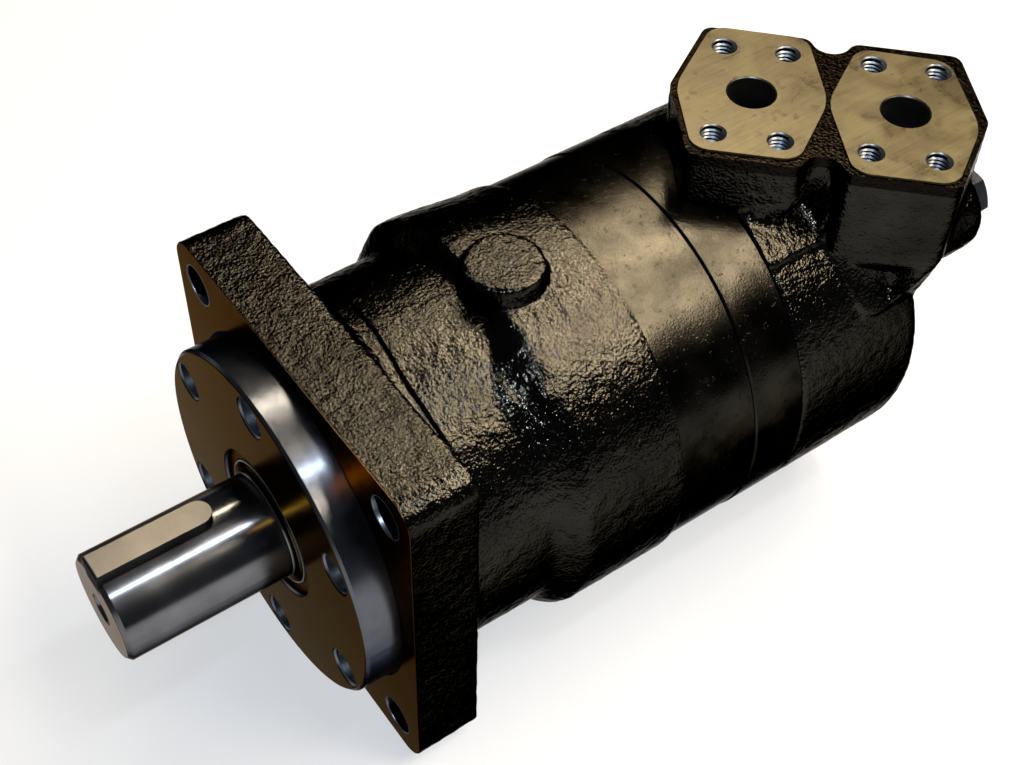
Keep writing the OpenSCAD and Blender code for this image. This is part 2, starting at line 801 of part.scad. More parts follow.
module valve_plate() color(black)
  difference() {
    turned([
      [valve_spline_r + 1.5, x_valve], [valve_body_r - 0.6, x_valve], [valve_body_r, x_valve + 0.6],
      [valve_body_r, x_plate - 0.6], [valve_body_r - 0.6, x_plate], [valve_spline_r + 1.5, x_plate]
    ], 128);
    for (i = [0 : roller_n - 1])
      around(tie_circle, 180 / roller_n + 360 / roller_n * i)
        bar(x_valve - 1, x_plate + 1, tie_r + 0.3, 32);
    for (i = [0 : roller_n - 1])
      around(channel_at, 180 / roller_n + 360 / roller_n * i)
        bar(x_valve - 1, x_plate + 1, channel_r, 32);
    turned([
      [body_seal_r - 1.4, x_plate - 2 * body_cord], [body_seal_r + 1.4, x_plate - 2 * body_cord],
      [body_seal_r + 1.4, x_plate + 1], [body_seal_r - 1.4, x_plate + 1]
    ]);
  }

// The disc valve has one outer slot and one inner slot for each lobe of the star.
module disc_valve() color(steel)
  difference() {
    turned([
      [0, x_disc_back], [disc_r - 0.6, x_disc_back], [disc_r, x_disc_back + 0.6], [disc_r, x_disc],
      [0, x_disc]
    ]);
    slab(x_disc_back - 1, x_disc + 1)
      spline_hole(valve_spline_r, valve_tooth_half, valve_tooth_deep);
    for (i = [0 : lobes - 1])
      rotate([360 / lobes * i, 0, 0])
        translate([x_disc - 7, channel_at - channel_r, -channel_r])
          cube([8, disc_r, 2 * channel_r]);
    for (i = [0 : lobes - 1])
      around(channel_at, 180 / lobes + 360 / lobes * i)
        bar(x_disc_back - 1, x_disc + 1, channel_r - 0.4, 32);
  }

module balance_ring() color(bronze)
  difference() {
    turned([
      [hub_r + seat_gap, x_balance_back], [hub_r + seat_gap, x_cord - cord_half],
      [hub_r + cord_deep, x_cord - cord_half], [hub_r + cord_deep, x_cord + cord_half],
      [hub_r + seat_gap, x_cord + cord_half], [hub_r + seat_gap, x_balance],
      [channel_at - channel_r - 1, x_balance], [channel_at - channel_r - 1, x_balance - 3],
      [channel_at + channel_r + 1, x_balance - 3], [channel_at + channel_r + 1, x_balance],
      [balance_r - seat_gap, x_balance], [balance_r - seat_gap, x_cord + cord_half],
      [balance_r - cord_deep, x_cord + cord_half], [balance_r - cord_deep, x_cord - cord_half],
      [balance_r - seat_gap, x_cord - cord_half], [balance_r - seat_gap, x_balance_back]
    ]);
    for (i = [0 : 11])
      around(channel_at, 15 + 30 * i)
        bar(x_balance_back - 1, x_balance - 2, 3.2, low);
    for (a = [0, 180])
      around(channel_at, a)
        bar(x_balance_back - 1, x_balance_back + pin_in + 0.5, pin_r + 0.1, low);
  }

module balance_outer_seal() color(rubber)
  cord_ring(x_cord, balance_r - cord_r - 0.02, cord_r);

module balance_inner_seal() color(rubber)
  cord_ring(x_cord, hub_r + cord_r + 0.02, cord_r);

// A cone spring presses the balance ring on the disc valve. Oil passes through its holes.
module balance_spring() color(steel)
  difference() {
    turned([
      [hub_r + 1, x_room_back], [hub_r + 2.6, x_room_back], [balance_r - 1, x_balance_back - 0.8],
      [balance_r - 1, x_balance_back], [balance_r - 2.6, x_balance_back], [hub_r + 1, x_room_back + 0.8]
    ], 72);
    for (i = [0 : 11])
      around(channel_at, 15 + 30 * i)
        bar(x_room_back - 1, x_balance_back + 1, 3.2, low);
    for (a = [0, 180])
      around(channel_at, a)
        bar(x_room_back - 1, x_balance_back + 1, pin_r + 0.3, low);
  }

module balance_pins() color(steel)
  for (a = [0, 180])
    around(channel_at, a)
      bar(x_room_back - pin_hold, x_balance_back + pin_in, pin_r, low);

// Outline of the cast port block: two six-sided pads side by side.
module pad_outline(grow) {
  k = 0.8 * grow;
  across = pad_short + 0.75 * grow;
  along = pad_long + grow;
  polygon([
    [pad_tip + k, 0], [across, along], [-across, along],
    [-pad_tip - k, 0], [-across, -along], [across, -along]
  ]);
}

module soft_pad(grow, r) {
  offset(r = r, $fn = low)
    offset(delta = -r)
      pad_outline(grow);
}

module block_outline() {
  offset(r = -notch_r, $fn = mid)
    offset(delta = notch_r)
      for (s = [-1, 1])
        translate([s * port_gap / 2, 0])
          soft_pad(pad_rim, pad_soft);
}

// Moves to the middle of the port pair, with the row of ports along local X.
module at_ports(z) {
  translate([port_c[0], port_c[1], z])
    rotate([0, 0, port_turn])
      children();
}

module valve_housing() color(black) {
  difference() {
    union() {
      turned([
        [0, x_end], [valve_body_r - 5, x_end],
        [valve_body_r - 2.2, x_end + 0.9], [valve_body_r - 0.6, x_end + 3],
        [valve_body_r, x_end + 6], [valve_body_r, x_valve - 0.8], [valve_body_r - 0.8, x_valve], [0, x_valve]
      ], 128);
      at_ports(block_root)
        linear_extrude(port_z - pad_step - block_root)
          block_outline();
      for (s = [-1, 1])
        at_ports(block_root)
          translate([s * port_gap / 2, 0, 0])
            linear_extrude(port_z - block_root)
              soft_pad(0, pad_soft);
      // Foot of the outer pad, drawn in to the round body.
      hull() {
        at_ports(block_root - 1)
          translate([port_gap / 2, 0, 0])
            linear_extrude(2)
              soft_pad(pad_rim - 0.4, pad_soft);
        translate([0, foot_y, foot_z])
          bar(x_end, x_end + foot_len, foot_r, low);
      }
      // Soft rise of the round body to the foot of the block, behind the valve plate.
      intersection() {
        hull() {
          at_ports(block_root)
            translate([0, notch_r - pad_long, 0])
              cylinder(h = block_foot - block_root, r1 = 2 * rise_r, r2 = rise_r, $fn = low);
          around(valve_body_r - rise_r, rise_turn)
            bar(x_balance_back + 1, x_valve + 3, rise_r, low);
          around(valve_body_r - rise_r, rise_turn + rise_span)
            bar(x_balance_back + 8, x_valve + 2, rise_r, low);
        }
        translate([x_end, -port_z, 0])
          cube([x_valve - x_end, 2 * port_z, port_z]);
      }
      translate([0, drain_y, drain_z])
        turned([
          [0, x_boss], [drain_boss_r - 2.5, x_boss],
          [drain_boss_r - 0.7, x_boss + 0.8], [drain_boss_r, x_boss + 3],
          [drain_boss_r, x_end + 14], [0, x_end + 24]
        ], mid);
    }
    // The block clears the valve plate and the drain plug.
    bar(x_valve, x_valve + 40, valve_body_r + 0.5, 128);
    translate([0, drain_y, drain_z])
      bar(x_boss - 40, x_boss, drain_hex / 2 + 4, mid);
    // Chamber of the disc valve, and the bore of the balance ring about its hub.
    bar(x_balance - 1, x_valve + 1, room_r, fine);
    difference() {
      bar(x_room_back, x_balance, balance_r, fine);
      bar(x_room_back - 1, x_balance + 1, hub_r, fine);
    }
    bar(x_balance - 1.5, x_balance, balance_r, fine);
    // Middle chamber, which drains to the rear boss.
    bar(x_room_back - 14, x_valve + 1, valve_spline_r + 1.5, mid);
    drilling([x_end + 5, 10, 0], [x_boss + plug_grip + 4, drain_y, drain_z], 2.5);
    translate([0, drain_y, drain_z]) {
      bar(x_boss - 1, x_boss + plug_grip + 3, drain_r, 32);
      bar(x_boss + plug_grip + 2, x_boss + plug_grip + 6, 2.5, 32);
    }
    // First port, with a drilling from its floor to the chamber of the disc valve.
    translate([port_1[0], port_1[1], port_floor])
      cylinder(h = port_z, r = port_r, $fn = mid);
    drilling([port_1[0], port_1[1], port_floor + 2], [x_disc_back + 6, port_1[1], room_r - 3], 3);
    // Second port, down and across to the back of the balance ring.
    translate([port_2[0], port_2[1], port_low])
      cylinder(h = port_z, r = port_r, $fn = mid);
    translate([port_2[0], port_2[1], port_low])
      sphere(r = port_r, $fn = mid);
    drilling([port_2[0], port_2[1], port_low], [x_room_back + 1, feed_y, feed_z], 6.4);
    // Tapped holes round both ports.
    for (s = [-1, 1])
      for (u = [-1, 1])
        for (v = [-1, 1])
          at_ports(port_z - port_tap_depth)
            translate([s * port_gap / 2 + u * port_short / 2, v * port_long / 2, 0])
              cylinder(h = port_tap_depth + 1, r = port_tap_r, $fn = 32);
    // Tie screws, their pockets open to the rear.
    for (i = [0 : roller_n - 1])
      around(tie_circle, 180 / roller_n + 360 / roller_n * i) {
        bar(x_end - 1, x_valve + 1, tie_r + 0.3, 32);
        bar(x_end - cut_far, x_end + tie_head_h + 1, tie_head_r + 0.5, 32);
      }
    for (a = [0, 180])
      around(channel_at, a)
        bar(x_room_back - pin_hold, x_room_back + 1, pin_r, low);
    turned([
      [body_seal_r - 1.4, x_valve - 2 * body_cord], [body_seal_r + 1.4, x_valve - 2 * body_cord],
      [body_seal_r + 1.4, x_valve + 1], [body_seal_r - 1.4, x_valve + 1]
    ]);
  }
}

module front_body_seal() color(rubber) cord_ring(x_ring - body_cord, body_seal_r, body_cord);
module middle_body_seal() color(rubber) cord_ring(x_plate - body_cord, body_seal_r, body_cord);
module rear_body_seal() color(rubber) cord_ring(x_valve - body_cord, body_seal_r, body_cord);

module tie_screws() color(dark_steel)
  for (i = [0 : roller_n - 1])
    around(tie_circle, 180 / roller_n + 360 / roller_n * i)
      translate([x_end + tie_head_h + 1, 0, 0])
        mirror([1, 0, 0])
          socket_screw(tie_r, x_ring + tie_grip - x_end - tie_head_h - 1);

module drain_washer() color(bronze)
  translate([0, drain_y, drain_z])
    turned([
      [drain_r, x_washer], [drain_r + washer_w, x_washer], [drain_r + washer_w, x_boss], [drain_r, x_boss]
    ], mid);

module drain_plug() color(dark_steel)
  translate([0, drain_y, drain_z]) {
    bar(x_collar, x_boss + plug_grip, drain_r, 32);
    difference() {
      union() {
        bar(x_collar, x_washer, drain_r + washer_w, 32);
        intersection() {
          bar(x_plug, x_collar, drain_hex / 2, 6);
          turned([
            [0, x_plug], [drain_hex / 2 - 1.8, x_plug], [drain_hex / 2, x_plug + 1],
            [drain_hex / 2, x_collar], [0, x_collar]
          ], mid);
        }
      }
      bar(x_plug - 1, x_plug + 5, 4.4, 6);
    }
  }

bearing_housing();
retainer_plate();
retainer_screws();
retainer_o_ring();
bearing_shim();
output_shaft();
shaft_key();
dust_seal();
shaft_seal();
seal_backup_ring();
seal_snap_ring();
front_cup();
front_cone();
front_tapers();
front_cage();
rear_cup();
rear_cone();
rear_tapers();
rear_cage();
wear_plate();
main_link();
gear_ring();
roller_1();
roller_2();
roller_3();
roller_4();
roller_5();
roller_6();
roller_7();
star();
link_spacer();
valve_link();
valve_plate();
disc_valve();
balance_ring();
balance_outer_seal();
balance_inner_seal();
balance_spring();
balance_pins();
valve_housing();
front_body_seal();
middle_body_seal();
rear_body_seal();
tie_screws();
drain_plug();
drain_washer();
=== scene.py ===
import json
import math
import bmesh
import bpy
from mathutils import Matrix, Vector, noise


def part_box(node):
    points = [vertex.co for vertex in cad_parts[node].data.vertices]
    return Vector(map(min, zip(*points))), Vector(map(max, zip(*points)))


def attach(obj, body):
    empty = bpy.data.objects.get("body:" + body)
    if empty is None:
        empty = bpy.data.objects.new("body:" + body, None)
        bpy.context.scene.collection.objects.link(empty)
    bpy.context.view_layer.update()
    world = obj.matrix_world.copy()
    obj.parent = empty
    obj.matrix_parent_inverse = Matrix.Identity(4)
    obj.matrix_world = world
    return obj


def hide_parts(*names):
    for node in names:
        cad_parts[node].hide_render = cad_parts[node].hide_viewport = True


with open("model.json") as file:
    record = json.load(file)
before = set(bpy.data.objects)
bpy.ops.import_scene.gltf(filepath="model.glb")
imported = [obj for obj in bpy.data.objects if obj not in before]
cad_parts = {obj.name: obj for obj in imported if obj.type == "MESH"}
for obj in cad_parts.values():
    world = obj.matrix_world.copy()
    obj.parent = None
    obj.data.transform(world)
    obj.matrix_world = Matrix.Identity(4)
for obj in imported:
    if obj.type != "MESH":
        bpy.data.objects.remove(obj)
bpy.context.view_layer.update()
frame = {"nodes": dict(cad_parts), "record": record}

nodes = frame["nodes"]
mm = 0.001

# Places that the frame's boxes give
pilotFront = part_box("retainer_plate")[1].x
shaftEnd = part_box("output_shaft")[1].x
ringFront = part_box("gear_ring")[1].x
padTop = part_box("valve_housing")[1].z


# Making and finishing pieces

def meshFrom(bm, name, sharpFrom=35):
    mesh = bpy.data.meshes.new(name)
    bm.to_mesh(mesh)
    bm.free()
    mesh.shade_smooth()
    mesh.set_sharp_from_angle(angle=math.radians(sharpFrom))
    return mesh


def addPiece(name, mesh, finish, body="housing", stands=()):
    piece = bpy.data.objects.new(name, mesh)
    bpy.context.scene.collection.objects.link(piece)
    mesh.materials.clear()
    mesh.materials.append(finish)
    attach(piece, body)
    if stands:
        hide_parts(*stands)
    return piece


def spunRing(section, steps, centre, upright=False):
    # section is a closed loop of (radius, along) in mm, spun about X, or about Z when upright
    bm = bmesh.new()
    corners = [bm.verts.new((along * mm, 0, radius * mm)) for radius, along in section]
    rims = [bm.edges.new((corners[i - 1], corners[i])) for i in range(len(corners))]
    bmesh.ops.spin(bm, geom=corners + rims, cent=(0, 0, 0), axis=(1, 0, 0), angle=2 * math.pi,
                   steps=steps, use_merge=True)
    bmesh.ops.remove_doubles(bm, verts=bm.verts, dist=1e-7)
    if upright:
        bmesh.ops.rotate(bm, verts=bm.verts, cent=(0, 0, 0), matrix=Matrix.Rotation(-math.pi / 2, 3, "Y"))
    bmesh.ops.translate(bm, verts=bm.verts, vec=Vector(centre))
    bmesh.ops.recalc_face_normals(bm, faces=bm.faces)
    return bm


def threadCoil(bm, crest, root, pitch, turns, centre, upright=False):
    # one ridge of triangular section, wound as a helix and closed at both ends
    coil = bmesh.new()
    ridge = [coil.verts.new((x, 0, r)) for x, r in
             ((0, root), (0.5 * pitch, crest), (0.92 * pitch, root))]
    face = coil.faces.new(ridge)
    bmesh.ops.spin(coil, geom=[face] + face.edges[:] + ridge, cent=(0, 0, 0), axis=(1, 0, 0),
                   dvec=(pitch / 24, 0, 0), angle=2 * math.pi * turns, steps=int(24 * turns))
    bmesh.ops.remove_doubles(coil, verts=coil.verts, dist=1e-8)
    bmesh.ops.holes_fill(coil, edges=coil.edges, sides=4)
    if upright:
        bmesh.ops.rotate(coil, verts=coil.verts, cent=(0, 0, 0),
                         matrix=Matrix.Rotation(-math.pi / 2, 3, "Y"))
    bmesh.ops.translate(coil, verts=coil.verts, vec=Vector(centre))
    bmesh.ops.recalc_face_normals(coil, faces=coil.faces)
    spare = bpy.data.meshes.new("coil")
    coil.to_mesh(spare)
    coil.free()
    bm.from_mesh(spare)
    bpy.data.meshes.remove(spare)


# Finishes

def newFinish(name, colour, roughness, metallic=0.0, tint=None):
    finish = bpy.data.materials.new(name)
    finish.use_nodes = True
    shader = finish.node_tree.nodes["Principled BSDF"]
    shader.inputs["Base Color"].default_value = (*colour, 1)
    shader.inputs["Roughness"].default_value = roughness
    shader.inputs["Metallic"].default_value = metallic
    if tint:
        shader.inputs["Specular Tint"].default_value = (*tint, 1)
    return finish, shader


def coordinates(finish, stretch=(1, 1, 1), turn=(0, 0, 0)):
    tree = finish.node_tree
    source = tree.nodes.new("ShaderNodeTexCoord")
    mapping = tree.nodes.new("ShaderNodeMapping")
    mapping.inputs["Rotation"].default_value = turn
    mapping.inputs["Scale"].default_value = stretch
    tree.links.new(source.outputs["Object"], mapping.inputs["Vector"])
    return mapping.outputs["Vector"]


def placeAlong(finish, *axes):
    split = finish.node_tree.nodes.new("ShaderNodeSeparateXYZ")
    finish.node_tree.links.new(coordinates(finish), split.inputs["Vector"])
    return [split.outputs[axis] for axis in axes]


def grain(finish, scale, detail=2.0, roughness=0.5, where=None, distortion=0.0):
    tree = finish.node_tree
    node = tree.nodes.new("ShaderNodeTexNoise")
    node.inputs["Scale"].default_value = scale
    node.inputs["Detail"].default_value = detail
    node.inputs["Roughness"].default_value = roughness
    node.inputs["Distortion"].default_value = distortion
    tree.links.new(where or coordinates(finish), node.inputs["Vector"])
    return node.outputs["Fac"]


def ramp(finish, source, stops):
    tree = finish.node_tree
    node = tree.nodes.new("ShaderNodeValToRGB")
    elements = node.color_ramp.elements
    while len(elements) < len(stops):
        elements.new(0.5)
    for element, (place, colour) in zip(elements, stops):
        element.position = place
        element.color = (*colour, 1) if isinstance(colour, tuple) else (colour, colour, colour, 1)
    tree.links.new(source, node.inputs["Fac"])
    return node.outputs["Color"]


def sums(finish, kind, first, second):
    tree = finish.node_tree
    node = tree.nodes.new("ShaderNodeMath")
    node.operation = kind
    for socket, value in zip(node.inputs, (first, second)):
        if isinstance(value, (int, float)):
            socket.default_value = value
        else:
            tree.links.new(value, socket)
    return node.outputs["Value"]


def blendColours(finish, share, first, second):
    tree = finish.node_tree
    node = tree.nodes.new("ShaderNodeMix")
    node.data_type = "RGBA"
    tree.links.new(share, node.inputs[0])
    for socket, value in ((node.inputs[6], first), (node.inputs[7], second)):
        if isinstance(value, tuple):
            socket.default_value = (*value, 1)
        else:
            tree.links.new(value, socket)
    return node.outputs[2]


def relief(finish, height, strength, distance, below=None):
    tree = finish.node_tree
    node = tree.nodes.new("ShaderNodeBump")
    node.inputs["Strength"].default_value = strength
    node.inputs["Distance"].default_value = distance
    tree.links.new(height, node.inputs["Height"])
    if below:
        tree.links.new(below, node.inputs["Normal"])
    return node.outputs["Normal"]


socketOf = {"colour": "Base Color", "roughness": "Roughness", "normal": "Normal", "grazing": "Specular Tint"}


def connect(finish, shader, **sockets):
    for name, output in sockets.items():
        finish.node_tree.links.new(output, shader.inputs[socketOf[name]])


def darker(colour, share):
    return tuple(share * c for c in colour)


# The paint is a dark mirror without a bright rim, so it is set as a dark metal with a dull grazing tint

# the rim colour is painted shade: the darkest paint colour, laid on the paint above the rim level, on the
# block's upper walls and the rims round the pads
castPaintLook = {"colour": (0.0255, 0.0245, 0.0215), "grazing": (0.055, 0.05, 0.04), "dull": 0.6,
                 "rim": (0.007, 0.006, 0.005), "paintedShadeLevel": 0.0868, "patchScale": 38,
                 "smoothest": 0.10, "roughest": 0.17, "grainScale": 930, "grainDepth": 0.00012,
                 "fineScale": 2400, "fineDepth": 0.00002, "waveScale": 230, "waveDepth": 0.00013}


def makeCastPaint():
    look = castPaintLook
    finish, shader = newFinish("castBlackPaint", look["colour"], 0.2, metallic=1.0, tint=look["grazing"])
    coarse = grain(finish, look["grainScale"], 1.0, 0.45, distortion=0.3)
    fine = grain(finish, look["fineScale"], 1.0, 0.5)
    wave = grain(finish, look["waveScale"], 1.0, 0.5)
    patches = grain(finish, look["patchScale"], 3, 0.55)
    waved = relief(finish, wave, 1.0, look["waveDepth"])
    grained = relief(finish, ramp(finish, coarse, [(0.3, 0.0), (0.7, 1.0)]), 1.0, look["grainDepth"], waved)
    height, = placeAlong(finish, "Z")
    # above the rim level the colour ramp falls to the rim colour: painted shade
    inPaintedShade = sums(finish, "GREATER_THAN", height, look["paintedShadeLevel"])
    shade = sums(finish, "SUBTRACT", patches, inPaintedShade)
    dull = darker(look["colour"], look["dull"])
    connect(finish, shader,
            colour=ramp(finish, shade, [(0.0, look["rim"]), (0.35, dull), (0.65, look["colour"])]),
            roughness=ramp(finish, patches, [(0.3, look["smoothest"]), (0.7, look["roughest"])]),
            normal=relief(finish, fine, 1.0, look["fineDepth"], grained))
    return finish


smoothPaintLook = {"colour": (0.024, 0.0228, 0.0195), "grazing": (0.035, 0.032, 0.027), "dull": 0.42,
                   "patchScale": 52, "smoothest": 0.14, "roughest": 0.22, "grainScale": 1500,
                   "grainDepth": 0.00005, "waveScale": 110, "waveDepth": 0.00010, "spotScale": 480,
                   "spotDepth": 0.00005}


def makeSmoothPaint():
    look = smoothPaintLook
    finish, shader = newFinish("smoothBlackPaint", look["colour"], 0.22, metallic=1.0, tint=look["grazing"])
    fine = grain(finish, look["grainScale"], 1.5, 0.5)
    wave = grain(finish, look["waveScale"], 2.0, 0.5)
    patches = grain(finish, look["patchScale"], 4, 0.6)
    spots = ramp(finish, grain(finish, look["spotScale"], 2.0, 0.6), [(0.64, 0.0), (0.70, 1.0)])
    waved = relief(finish, wave, 1.0, look["waveDepth"])
    spotted = relief(finish, spots, 1.0, look["spotDepth"], waved)
    dull = darker(look["colour"], look["dull"])
    connect(finish, shader,
            colour=ramp(finish, patches, [(0.38, dull), (0.62, look["colour"])]),
            roughness=ramp(finish, patches, [(0.3, look["smoothest"]), (0.66, look["roughest"])]),
            normal=relief(finish, fine, 1.0, look["grainDepth"], spotted))
    return finish


def turnedMarks(finish, fineness, along):
    # rings about the shaft axis, from the distance to it and, for a cylinder's side, from X
    x, y, z = placeAlong(finish, "X", "Y", "Z")
    squares = [sums(finish, "MULTIPLY", side, side) for side in (y, z)]
    radius = sums(finish, "SQRT", sums(finish, "ADD", *squares), 0)
    place = sums(finish, "ADD", radius, sums(finish, "MULTIPLY", x, along))
    combine = finish.node_tree.nodes.new("ShaderNodeCombineXYZ")
    finish.node_tree.links.new(place, combine.inputs["X"])
    return grain(finish, fineness, 3, 0.7, where=combine.outputs["Vector"])


machinedLook = {"stainScale": 60, "dustScale": 2600, "stained": 0.62, "zoneStained": 0.7, "marks": 0.5}


def makeMachined(name, colour, roughness, fineness=5200, depth=0.00003, spotty=0.5, along=1.0,
                 grazing=(1.0, 1.0, 1.0), zones=()):
    # zones: (axis, "GREATER_THAN" or "LESS_THAN", level, colour there, grazing tint there); the colours there
    # paint reflection and shade onto one face or end of the part
    look = machinedLook
    finish, shader = newFinish(name, colour, roughness, metallic=1.0, tint=grazing)
    rings = turnedMarks(finish, fineness, along)
    stains = grain(finish, look["stainScale"], 4, 0.6)
    dust = grain(finish, look["dustScale"], 2, 0.7)
    shade = ramp(finish, stains, [(0.3, darker(colour, look["stained"])), (0.72, colour)])
    tint = grazing
    for axis, test, level, zoneColour, zoneGrazing in zones:
        inside = sums(finish, test, placeAlong(finish, axis)[0], level)
        rampedTone = ramp(finish, stains, [(0.3, darker(zoneColour, look["zoneStained"])), (0.72, zoneColour)])
        shade = blendColours(finish, inside, shade, rampedTone)
        tint = blendColours(finish, inside, tint, zoneGrazing)
    if zones:
        connect(finish, shader, grazing=tint)
    mottled = sums(finish, "ADD", sums(finish, "MULTIPLY", stains, 0.6), sums(finish, "MULTIPLY", dust, 0.4))
    connect(finish, shader, colour=shade,
            roughness=ramp(finish, mottled, [(0.3, roughness * 0.8), (0.75, roughness * (1 + spotty))]),
            normal=relief(finish, rings, look["marks"], depth))
    return finish


padLook = {"pale": (0.056, 0.046, 0.0180), "brown": (0.027, 0.0185, 0.0050), "rust": (0.024, 0.010, 0.003),
           "worn": (0.094, 0.082, 0.042), "filmScale": 75, "rustScale": 210,
           "millStretch": (60, 1400, 60), "millAngle": 8}


def makePadMetal():
    finish, shader = newFinish("oilyMilledIron", padLook["pale"], 0.34, metallic=0.55)
    millTurn = (0, 0, math.radians(padLook["millAngle"]))
    lines = grain(finish, 1, 2, 0.6, where=coordinates(finish, padLook["millStretch"], millTurn))
    film = grain(finish, padLook["filmScale"], 4, 0.62, distortion=0.6)
    spots = grain(finish, padLook["rustScale"], 3, 0.55)
    rampedTone = ramp(finish, film, [(0.38, padLook["pale"]), (0.70, padLook["brown"])])
    stained = blendColours(finish, ramp(finish, spots, [(0.62, 0.0), (0.70, 0.85)]), rampedTone, padLook["rust"])
    toned = blendColours(finish, ramp(finish, lines, [(0.35, 0.0), (0.7, 0.35)]), stained, padLook["worn"])
    connect(finish, shader, colour=toned,
            roughness=ramp(finish, film, [(0.3, 0.42), (0.7, 0.24)]),
            normal=relief(finish, lines, 0.35, 0.00004))
    return finish


castPaint = makeCastPaint()
smoothPaint = makeSmoothPaint()
# a warm brown reflection painted into the metal colour of flat machined faces, with their own grazing tint
brownReflectionColour = (0.042, 0.0285, 0.0155)
brownReflectionGrazing = (0.425, 0.375, 0.31)
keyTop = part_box("shaft_key")[1].z
# the plate's front face is coloured with the painted brown reflection, while its rim keeps the dark steel
# colour
plateSteel = makeMachined(
    "darkTurnedSteel", (0.13, 0.14, 0.165), 0.20, fineness=3800, grazing=(0.12, 0.12, 0.14),
    zones=[("X", "GREATER_THAN", pilotFront - 0.3 * mm, brownReflectionColour, brownReflectionGrazing)])
# the flange's machined face is coloured with the painted brown reflection
flangeSteel = makeMachined("milledFlangeFace", brownReflectionColour, 0.20, fineness=3000, grazing=brownReflectionGrazing)
# the shaft's end is coloured with a painted brown reflection, and where it leaves the seal it is coloured
# dark as painted shade
shaftSteelFinish = makeMachined(
    "groundShaftSteel", (0.175, 0.18, 0.195), 0.18, fineness=6500, depth=0.00001, spotty=0.35,
    grazing=(0.22, 0.2, 0.18),
    zones=[("X", "GREATER_THAN", shaftEnd - 0.2 * mm, (0.13, 0.085, 0.038), (0.5, 0.42, 0.35)),
           ("X", "LESS_THAN", pilotFront + 0.25 * mm, (0.045, 0.035, 0.022), (0.3, 0.26, 0.2))])
# the key's sides are coloured far darker than its top: painted shade
keySteel = makeMachined(
    "groundKeySteel", (0.05, 0.05, 0.055), 0.34, fineness=2500, depth=0.00001, along=0.2,
    grazing=(0.2, 0.2, 0.2),
    zones=[("Z", "GREATER_THAN", keyTop - 0.25 * mm, (0.26, 0.25, 0.235), (0.8, 0.8, 0.8))])
brightSteel = makeMachined("brightSteel", (0.60, 0.62, 0.66), 0.22, fineness=5000, depth=0.00001)
holeSteel = makeMachined("boredSteel", (0.17, 0.195, 0.235), 0.32, fineness=3000, depth=0.00002,
                         grazing=(0.5, 0.5, 0.55))
bareIron = makeMachined("boredIron", (0.10, 0.10, 0.10), 0.35, fineness=2600, depth=0.00003)
bronze = makeMachined("bronze", (0.48, 0.33, 0.15), 0.32, fineness=2600)
padMetal = makePadMetal()
# the wiper case is coloured with the painted brown reflection
wiperSteel = makeMachined("wiperSteel", brownReflectionColour, 0.25, fineness=2600, grazing=brownReflectionGrazing)
rubber, rubberShader = newFinish("sealRubber", (0.020, 0.023, 0.019), 0.3)
connect(rubber, rubberShader, roughness=ramp(rubber, grain(rubber, 900, 2), [(0.3, 0.22), (0.7, 0.4)]),
        normal=relief(rubber, grain(rubber, 1600, 2), 0.3, 0.00003))

finishOfSlot = {"cast_black_paint": castPaint, "smooth_black_paint": smoothPaint, "seal_rubber": rubber,
                "bronze": bronze, "dark_machined_steel": plateSteel, "shaft_steel": shaftSteelFinish,
                "bright_steel": brightSteel}
slotOfNode = {part["node"]: part["material_slot"] for part in frame["record"]["subparts"]}
for name, piece in nodes.items():
    finish = finishOfSlot[slotOfNode[name]]
    if name == "shaft_key":
        finish = keySteel
    piece.data.materials.clear()
    piece.data.materials.append(finish)
print("finishes on", len(nodes), "nodes")


# Castings: a copy of the solid with soft edges, lumps and machined ends

def blobInto(bm, shape, centre, size, turn=(0, 0, 0)):
    # a box or cone joined to a casting before it is melted into one skin; sizes in mm
    place = Matrix.Translation(Vector(centre) * mm)
    for axis, angle in zip("XYZ", turn):
        place = place @ Matrix.Rotation(math.radians(angle), 4, axis)
    if shape == "box":
        bmesh.ops.create_cube(bm, size=1, matrix=place @ Matrix.Diagonal((*(s * mm for s in size), 1)))
    else:
        low, high, tall = size
        bmesh.ops.create_cone(bm, cap_ends=True, segments=64, radius1=low * mm, radius2=high * mm,
                              depth=tall * mm, matrix=place)


def melt(bm, voxel):
    rawMesh = bpy.data.meshes.new("raw")
    bm.to_mesh(rawMesh)
    bm.free()
    raw = bpy.data.objects.new("raw", rawMesh)
    bpy.context.scene.collection.objects.link(raw)
    remesh = raw.modifiers.new("melt", "REMESH")
    remesh.mode = "VOXEL"
    remesh.voxel_size = voxel
    bpy.context.view_layer.update()
    melted = bpy.data.meshes.new_from_object(raw.evaluated_get(bpy.context.evaluated_depsgraph_get()))
    bpy.data.objects.remove(raw)
    bm = bmesh.new()
    bm.from_mesh(melted)
    bpy.data.meshes.remove(melted)
    return bm


def roughen(bm, look, rough):
    shifts = []
    for v in bm.verts:
        share = rough(v.co, v.normal)
        if share > 0:
            broad = noise.noise(v.co / (look["lump"] * mm))
            small = noise.noise(v.co / (0.45 * look["lump"] * mm))
            shifts.append((v, v.normal * (share * look["lumpHeight"] * mm * (broad + 0.5 * small))))
    for v, shift in shifts:
        v.co += shift


def cutFlat(bm, axis, level, sign):
    point, away = [0, 0, 0], [0, 0, 0]
    point[axis], away[axis] = level, sign
    cut = bmesh.ops.bisect_plane(bm, geom=bm.verts[:] + bm.edges[:] + bm.faces[:], dist=1e-7,
                                 plane_co=point, plane_no=away, clear_outer=True)["geom_cut"]
    rim = [e for e in cut if isinstance(e, bmesh.types.BMEdge)]
    bmesh.ops.triangle_fill(bm, use_beauty=True, use_dissolve=False, edges=rim, normal=away)


